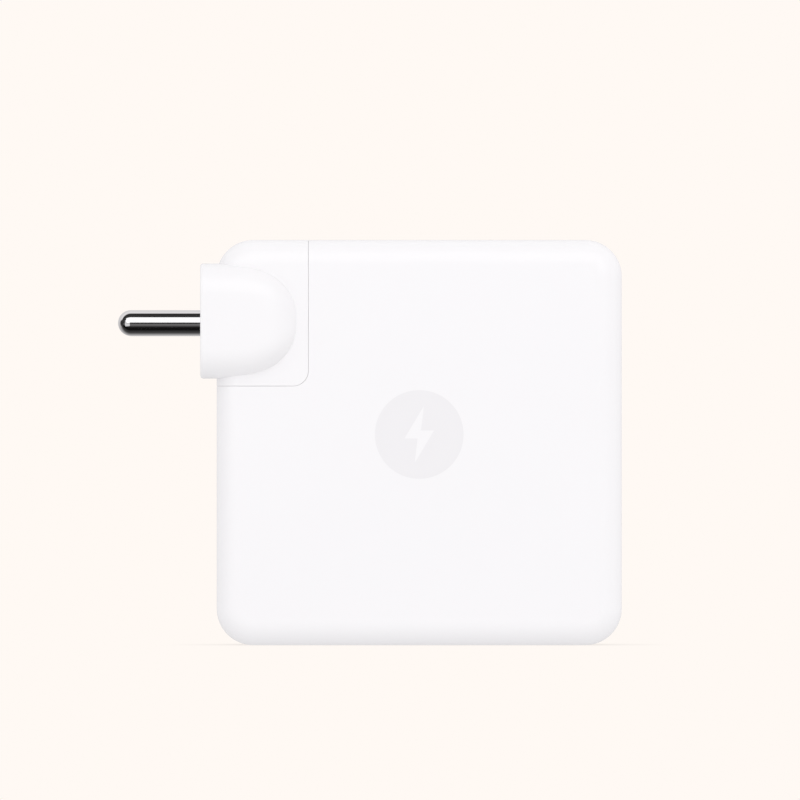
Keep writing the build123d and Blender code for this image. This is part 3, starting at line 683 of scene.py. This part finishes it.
satin = {"low_rough": 0.2, "high_rough": 0.26, "shine": 0.13}
housing_white = moulded_plastic("housing_white", (0.922, 0.912, 0.925), (0.926, 0.916, 0.929), **satin)
sign_grey = moulded_plastic("sign_grey", (0.868, 0.856, 0.872), (0.872, 0.860, 0.876), **satin)
moulding_white = moulded_plastic("moulding_white", (0.86, 0.86, 0.87), (0.88, 0.88, 0.89), 0.38, 0.46, 0.008)
nickel = turned_metal("nickel", (0.72, 0.72, 0.73), (0.75, 0.745, 0.755), 0.03, 0.05, (1, 6, 6))
node_looks = {
    moulding_white: ("inlet_block", "plug_head_insert"),
    moulded_plastic("black_moulding", (0.02, 0.02, 0.022), (0.028, 0.028, 0.03), 0.34, 0.46, 0.01): (
        "bridge_rectifier",
        "switching_transistor_1",
        "switching_transistor_2",
        "controller_chip",
        "sync_rectifier",
        "power_delivery_chip",
        "usb_c_tongue",
        "transformer_bobbin",
    ),
    moulded_plastic("retainer_moulding", (0.79, 0.78, 0.74), (0.84, 0.83, 0.79), 0.4, 0.5, 0.01): (
        "pin_retainer",
    ),
    moulded_plastic("coupler_moulding", (0.82, 0.82, 0.81), (0.87, 0.87, 0.86), 0.38, 0.5, 0.01): (
        "optocoupler",
    ),
    moulded_plastic("grey_box", (0.39, 0.40, 0.42), (0.45, 0.46, 0.48), 0.36, 0.46, 0.01): (
        "x_capacitor",
    ),
    rough_solid("blue_ceramic", (0.05, 0.17, 0.42), (0.07, 0.21, 0.48), 0.25, 0.4, 150, 0.02): (
        "y_capacitor",
    ),
    rough_solid("green_coated_ferrite", (0.055, 0.19, 0.12), (0.08, 0.25, 0.16), 0.3, 0.45, 700, 0.01): (
        "choke_core",
    ),
    rough_solid("ferrite", (0.03, 0.03, 0.033), (0.06, 0.058, 0.06), 0.5, 0.7, 900, 0.015): (
        "pfc_inductor_core",
        "transformer_core",
    ),
    rough_solid("fuse_ceramic", (0.72, 0.69, 0.62), (0.8, 0.77, 0.7), 0.35, 0.5, 500, 0.01): (
        "fuse_body",
    ),
    rough_solid("silicone_pad", (0.42, 0.45, 0.5), (0.5, 0.53, 0.57), 0.6, 0.8, 700, 0.03): (
        "transformer_pad",
    ),
    rough_solid("insulation_film", (0.75, 0.66, 0.42), (0.82, 0.73, 0.5), 0.3, 0.42, 120, 0.02): (
        "front_insulation",
        "rear_insulation",
    ),
    wound_wire("enamelled_wire", (0.45, 0.13, 0.03), (0.75, 0.3, 0.09), "Z", 0.8): (
        "choke_windings",
        "pfc_inductor_winding",
    ),
    wound_wire("taped_winding", (0.7, 0.5, 0.08), (0.8, 0.6, 0.14), "Y"): ("transformer_winding",),
    wound_wire("brown_sleeve", (0.18, 0.07, 0.03), (0.25, 0.11, 0.05), "Z"): ("inlet_lead_front",),
    wound_wire("blue_sleeve", (0.03, 0.15, 0.44), (0.05, 0.2, 0.54), "Z"): ("inlet_lead_rear",),
    wound_wire("ground_sleeve", (0.04, 0.3, 0.08), (0.07, 0.38, 0.11), "X"): ("ground_lead",),
    circuit_board("circuit_board"): ("main_board", "output_board"),
    brushed_sheet("spreader_sheet", (0.7, 0.71, 0.72), (0.8, 0.81, 0.82), (1, 1, 14)): (
        "front_heat_spreader",
        "rear_heat_spreader",
    ),
    brushed_sheet("aluminium_sheet", (0.62, 0.63, 0.64), (0.74, 0.75, 0.76), (1, 14, 1)): (
        "primary_heat_sink",
    ),
    brushed_sheet("spring_brass", (0.62, 0.44, 0.2), (0.74, 0.55, 0.28), (1, 1, 12)): (
        "contact_strip_front",
        "contact_strip_rear",
        "contact_sleeve_front",
        "contact_sleeve_rear",
    ),
    turned_metal("stud_steel", (0.55, 0.55, 0.56), (0.64, 0.64, 0.65), 0.12, 0.22, (1, 8, 8)): (
        "latch_stud",
    ),
    turned_metal("pin_plate", (0.62, 0.6, 0.56), (0.7, 0.68, 0.64), 0.12, 0.24, (8, 8, 1)): (
        "inlet_pin_front",
        "inlet_pin_rear",
        "board_link_pins",
        "fuse_caps",
    ),
    turned_metal("port_steel", (0.6, 0.6, 0.61), (0.7, 0.7, 0.71), 0.18, 0.3, (1, 8, 1)): (
        "usb_c_receptacle",
    ),
    turned_metal("contact_gold", (0.8, 0.58, 0.24), (0.88, 0.66, 0.32), 0.14, 0.24, (8, 1, 1)): (
        "usb_c_contacts",
    ),
    sleeved_can("black_sleeve", (0.018, 0.018, 0.02), (0.03, 0.03, 0.033)): (
        "bulk_capacitor_1",
        "bulk_capacitor_2",
        "bulk_capacitor_3",
    ),
    brushed_sheet("capacitor_can", (0.66, 0.67, 0.68), (0.78, 0.79, 0.8), (1, 10, 1)): (
        "output_capacitor_1",
        "output_capacitor_2",
        "output_capacitor_3",
    ),
}


def weld_and_dress(node, material):
    """Material and even shading for a CAD node that is shown as it is."""
    node.data.materials.clear()
    node.data.materials.append(material)
    weld = node.modifiers.new("weld", "WELD")
    weld.merge_threshold = 0.001 * MM
    even_shading(node)


for material, names in node_looks.items():
    for name in names:
        weld_and_dress(frame["nodes"][name], material)


def dress(obj, material, body, slot, *nodes):
    """Give a made piece its material and body, and hide the CAD nodes it stands for; slot is not used."""
    obj.data.materials.clear()
    obj.data.materials.append(material)
    even_shading(obj)
    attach(obj, body)
    if nodes:
        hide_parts(*nodes)


dress(front_housing, housing_white, "brick", "white_housing", "front_shell")
dress(rear_housing, housing_white, "brick", "white_housing", "rear_shell")
dress(sign, sign_grey, "brick", "white_housing")
dress(plug_head_cover, housing_white, "plug_head", "white_housing", "plug_head_shell")
dress(mains_pin_front, nickel, "plug_head", "nickel_plate", "plug_pin_front")
dress(mains_pin_rear, nickel, "plug_head", "nickel_plate", "plug_pin_rear")

# ---------------------------------------------------------------- floor, light and camera

cream = (1.0, 0.947, 0.904)
# Reach in millimetres and darkest tone of the painted contact shadow on the floor
painted_shadow_reach = 12.0
painted_shadow_tone = 0.86


def pale_floor():
    """Plain pale floor that glows evenly, with a painted contact shadow where the adapter stands on it."""
    bm = bmesh.new()
    bmesh.ops.create_circle(bm, cap_ends=True, segments=96, radius=9000)
    bmesh.ops.translate(bm, vec=(0, 0, bottom - 0.02), verts=bm.verts)
    floor = to_object(bm, "floor")
    if floor.data.polygons[0].normal.z < 0:
        floor.data.flip_normals()
    material = bpy.data.materials.new("floor_paper")
    material.use_nodes = True
    tree = material.node_tree
    tree.nodes.clear()
    # Painted shadow: ambient occlusion dims the floor's glow near the adapter, in place of a cast contact
    # shadow
    nearness = tree.nodes.new("ShaderNodeAmbientOcclusion")
    nearness.inputs["Distance"].default_value = painted_shadow_reach * MM
    contact = tree.nodes.new("ShaderNodeMapRange")
    contact.inputs["To Min"].default_value = painted_shadow_tone
    glow = tree.nodes.new("ShaderNodeEmission")
    glow.inputs["Color"].default_value = (*cream, 1)
    clear = tree.nodes.new("ShaderNodeBsdfTransparent")
    side = tree.nodes.new("ShaderNodeNewGeometry")
    one_sided = tree.nodes.new("ShaderNodeMixShader")
    output = tree.nodes.new("ShaderNodeOutputMaterial")
    tree.links.new(nearness.outputs["AO"], contact.inputs["Value"])
    tree.links.new(contact.outputs["Result"], glow.inputs["Strength"])
    tree.links.new(side.outputs["Backfacing"], one_sided.inputs["Fac"])
    tree.links.new(glow.outputs["Emission"], one_sided.inputs[1])
    tree.links.new(clear.outputs["BSDF"], one_sided.inputs[2])
    tree.links.new(one_sided.outputs["Shader"], output.inputs["Surface"])
    floor.data.materials.append(material)
    floor.visible_diffuse = False
    floor.visible_glossy = False
    floor.visible_shadow = False


def studio_world():
    """White studio: a soft gradient for diffuse light, and walls of differing tone for reflections."""
    world = bpy.data.worlds.new("studio")
    scene.world = world
    world.use_nodes = True
    tree = world.node_tree
    tree.nodes.clear()
    place = tree.nodes.new("ShaderNodeTexCoord")
    output = tree.nodes.new("ShaderNodeOutputWorld")
    path = tree.nodes.new("ShaderNodeLightPath")

    def soft_tone():
        """Tone of the surround for diffuse light: a slope, with sides, zenith and nadir held back."""
        rise = tree.nodes.new("ShaderNodeVectorMath")
        rise.operation = "DOT_PRODUCT"
        rise.inputs[1].default_value = surround_rise
        tree.links.new(place.outputs["Generated"], rise.inputs[0])
        squares = tree.nodes.new("ShaderNodeVectorMath")
        squares.operation = "MULTIPLY"
        tree.links.new(place.outputs["Generated"], squares.inputs[0])
        tree.links.new(place.outputs["Generated"], squares.inputs[1])
        loss = tree.nodes.new("ShaderNodeVectorMath")
        loss.operation = "DOT_PRODUCT"
        loss.inputs[1].default_value = surround_loss
        tree.links.new(squares.outputs["Vector"], loss.inputs[0])
        lean = tree.nodes.new("ShaderNodeMath")
        lean.operation = "SUBTRACT"
        tree.links.new(rise.outputs["Value"], lean.inputs[0])
        tree.links.new(loss.outputs["Value"], lean.inputs[1])
        total = tree.nodes.new("ShaderNodeMath")
        total.inputs[1].default_value = surround_tone
        tree.links.new(lean.outputs["Value"], total.inputs[0])
        return total.outputs["Value"]

    def light(colour, strength=None):
        background = tree.nodes.new("ShaderNodeBackground")
        background.inputs["Color"].default_value = (*colour, 1)
        if strength:
            tree.links.new(strength, background.inputs["Strength"])
        return background.outputs["Background"]

    def pick(switch, off, on):
        mix = tree.nodes.new("ShaderNodeMixShader")
        tree.links.new(switch, mix.inputs["Fac"])
        tree.links.new(off, mix.inputs[1])
        tree.links.new(on, mix.inputs[2])
        return mix.outputs["Shader"]

    soft = light((1.0, 0.995, 1.0), soft_tone())
    room = light((1.0, 0.98, 0.98), room_tone(tree, place.outputs["Generated"]))
    lit = pick(path.outputs["Is Glossy Ray"], soft, room)
    seen = pick(path.outputs["Is Camera Ray"], lit, light(cream))
    tree.links.new(seen, output.inputs["Surface"])


surround_tone = 1.087
surround_rise = (0.034, -0.045, 0.055)
surround_loss = (0.16, 0, 0.33)
room_end_tones = (0.04, 0.6)
room_tones = [
    (-180, 0.75),
    (-150, 0.6),
    (-128, 0.42),
    (-108, 0.16),
    (-92, 0.05),
    (-78, 0.045),
    (-66, 0.008),
    (-42, 0.008),
    (-31, 0.05),
    (-23, 0.15),
    (-12, 0.2),
    (-4, 0.04),
    (5, 0.04),
    (62, 0.05),
    (80, 0.03),
    (90, 0.02),
    (97, 0.7),
    (108, 1.05),
    (128, 0.9),
    (180, 0.75),
]


def room_tone(tree, direction):
    """Tone of the room by the angle about X: dark walls ahead, pale walls behind, even end walls."""
    axes = tree.nodes.new("ShaderNodeSeparateXYZ")
    tree.links.new(direction, axes.inputs["Vector"])
    ahead = tree.nodes.new("ShaderNodeMath")
    ahead.operation = "MULTIPLY"
    ahead.inputs[1].default_value = -1.0
    tree.links.new(axes.outputs["Y"], ahead.inputs[0])
    turn = tree.nodes.new("ShaderNodeMath")
    turn.operation = "ARCTAN2"
    tree.links.new(axes.outputs["Z"], turn.inputs[0])
    tree.links.new(ahead.outputs["Value"], turn.inputs[1])
    share = tree.nodes.new("ShaderNodeMapRange")
    share.inputs["From Min"].default_value = -pi
    share.inputs["From Max"].default_value = pi
    tree.links.new(turn.outputs["Value"], share.inputs["Value"])
    ramp = tree.nodes.new("ShaderNodeValToRGB")
    stops = ramp.color_ramp.elements
    while len(stops) < len(room_tones):
        stops.new(0.5)
    for stop, (angle, tone) in zip(stops, room_tones):
        stop.position = (angle + 180) / 360
        stop.color = (tone, tone, tone, 1)
    tree.links.new(share.outputs["Result"], ramp.inputs["Fac"])
    aside = tree.nodes.new("ShaderNodeMath")
    aside.operation = "ABSOLUTE"
    tree.links.new(axes.outputs["X"], aside.inputs[0])
    end = tree.nodes.new("ShaderNodeMapRange")
    end.interpolation_type = "SMOOTHSTEP"
    end.inputs["From Min"].default_value = 0.9
    end.inputs["From Max"].default_value = 0.975
    tree.links.new(aside.outputs["Value"], end.inputs["Value"])
    mix = tree.nodes.new("ShaderNodeMix")
    mix.data_type = "RGBA"
    end_tone = tree.nodes.new("ShaderNodeMapRange")
    end_tone.inputs["From Min"].default_value = -1.0
    end_tone.inputs["To Min"].default_value, end_tone.inputs["To Max"].default_value = room_end_tones
    tree.links.new(axes.outputs["X"], end_tone.inputs["Value"])
    tree.links.new(end_tone.outputs["Result"], mix.inputs[7])
    tree.links.new(end.outputs["Result"], mix.inputs["Factor"])
    tree.links.new(ramp.outputs["Color"], mix.inputs[6])
    return mix.outputs[2]


def softbox(name, azimuth, elevation, distance, width, height, power, diffuse):
    """Soft light aimed at the middle of the adapter, azimuth from the front to the right.

    It lights either matt surfaces or, as a reflector card, only what shines.
    """
    data = bpy.data.lights.new(name, "AREA")
    data.shape = "RECTANGLE"
    data.size = width
    data.size_y = height
    data.energy = power
    lamp = bpy.data.objects.new(name, data)
    scene.collection.objects.link(lamp)
    a, e = radians(azimuth), radians(elevation)
    away = Vector((sin(a) * cos(e), -cos(a) * cos(e), sin(e)))
    target = Vector((0, 0, centre_z * MM))
    lamp.location = target + away * distance
    lamp.rotation_euler = (-away).to_track_quat("-Z", "Y").to_euler()
    lamp.visible_camera = False
    lamp.visible_diffuse = diffuse
    lamp.visible_glossy = not diffuse
    return lamp


def front_camera():
    """Long lens straight at the front face, aimed a little left of and above the brick's middle."""
    data = bpy.data.cameras.new("camera")
    data.sensor_width = 36.0
    data.lens = 1000.0
    data.clip_end = 50.0
    camera = bpy.data.objects.new("camera", data)
    scene.collection.objects.link(camera)
    view_width = 158.0 * MM
    silhouette_y = -(half_depth - edge_radius) * MM
    distance = view_width * data.lens / data.sensor_width
    camera.location = (-3.8 * MM, silhouette_y - distance, (centre_z + 8.4) * MM)
    camera.rotation_euler = (pi / 2, 0, 0)
    scene.camera = camera


pale_floor()
studio_world()
softbox("key_softbox", 5, 50, 0.5, 0.3, 0.2, 0.2, True)
softbox("reflector_card", 0, 29, 1.5, 2.6, 1.3, 14.0, False)
softbox("side_card", -34, 0, 1.5, 1.2, 1.5, 4.0, False)
front_camera()
scene.view_settings.view_transform = "Standard"
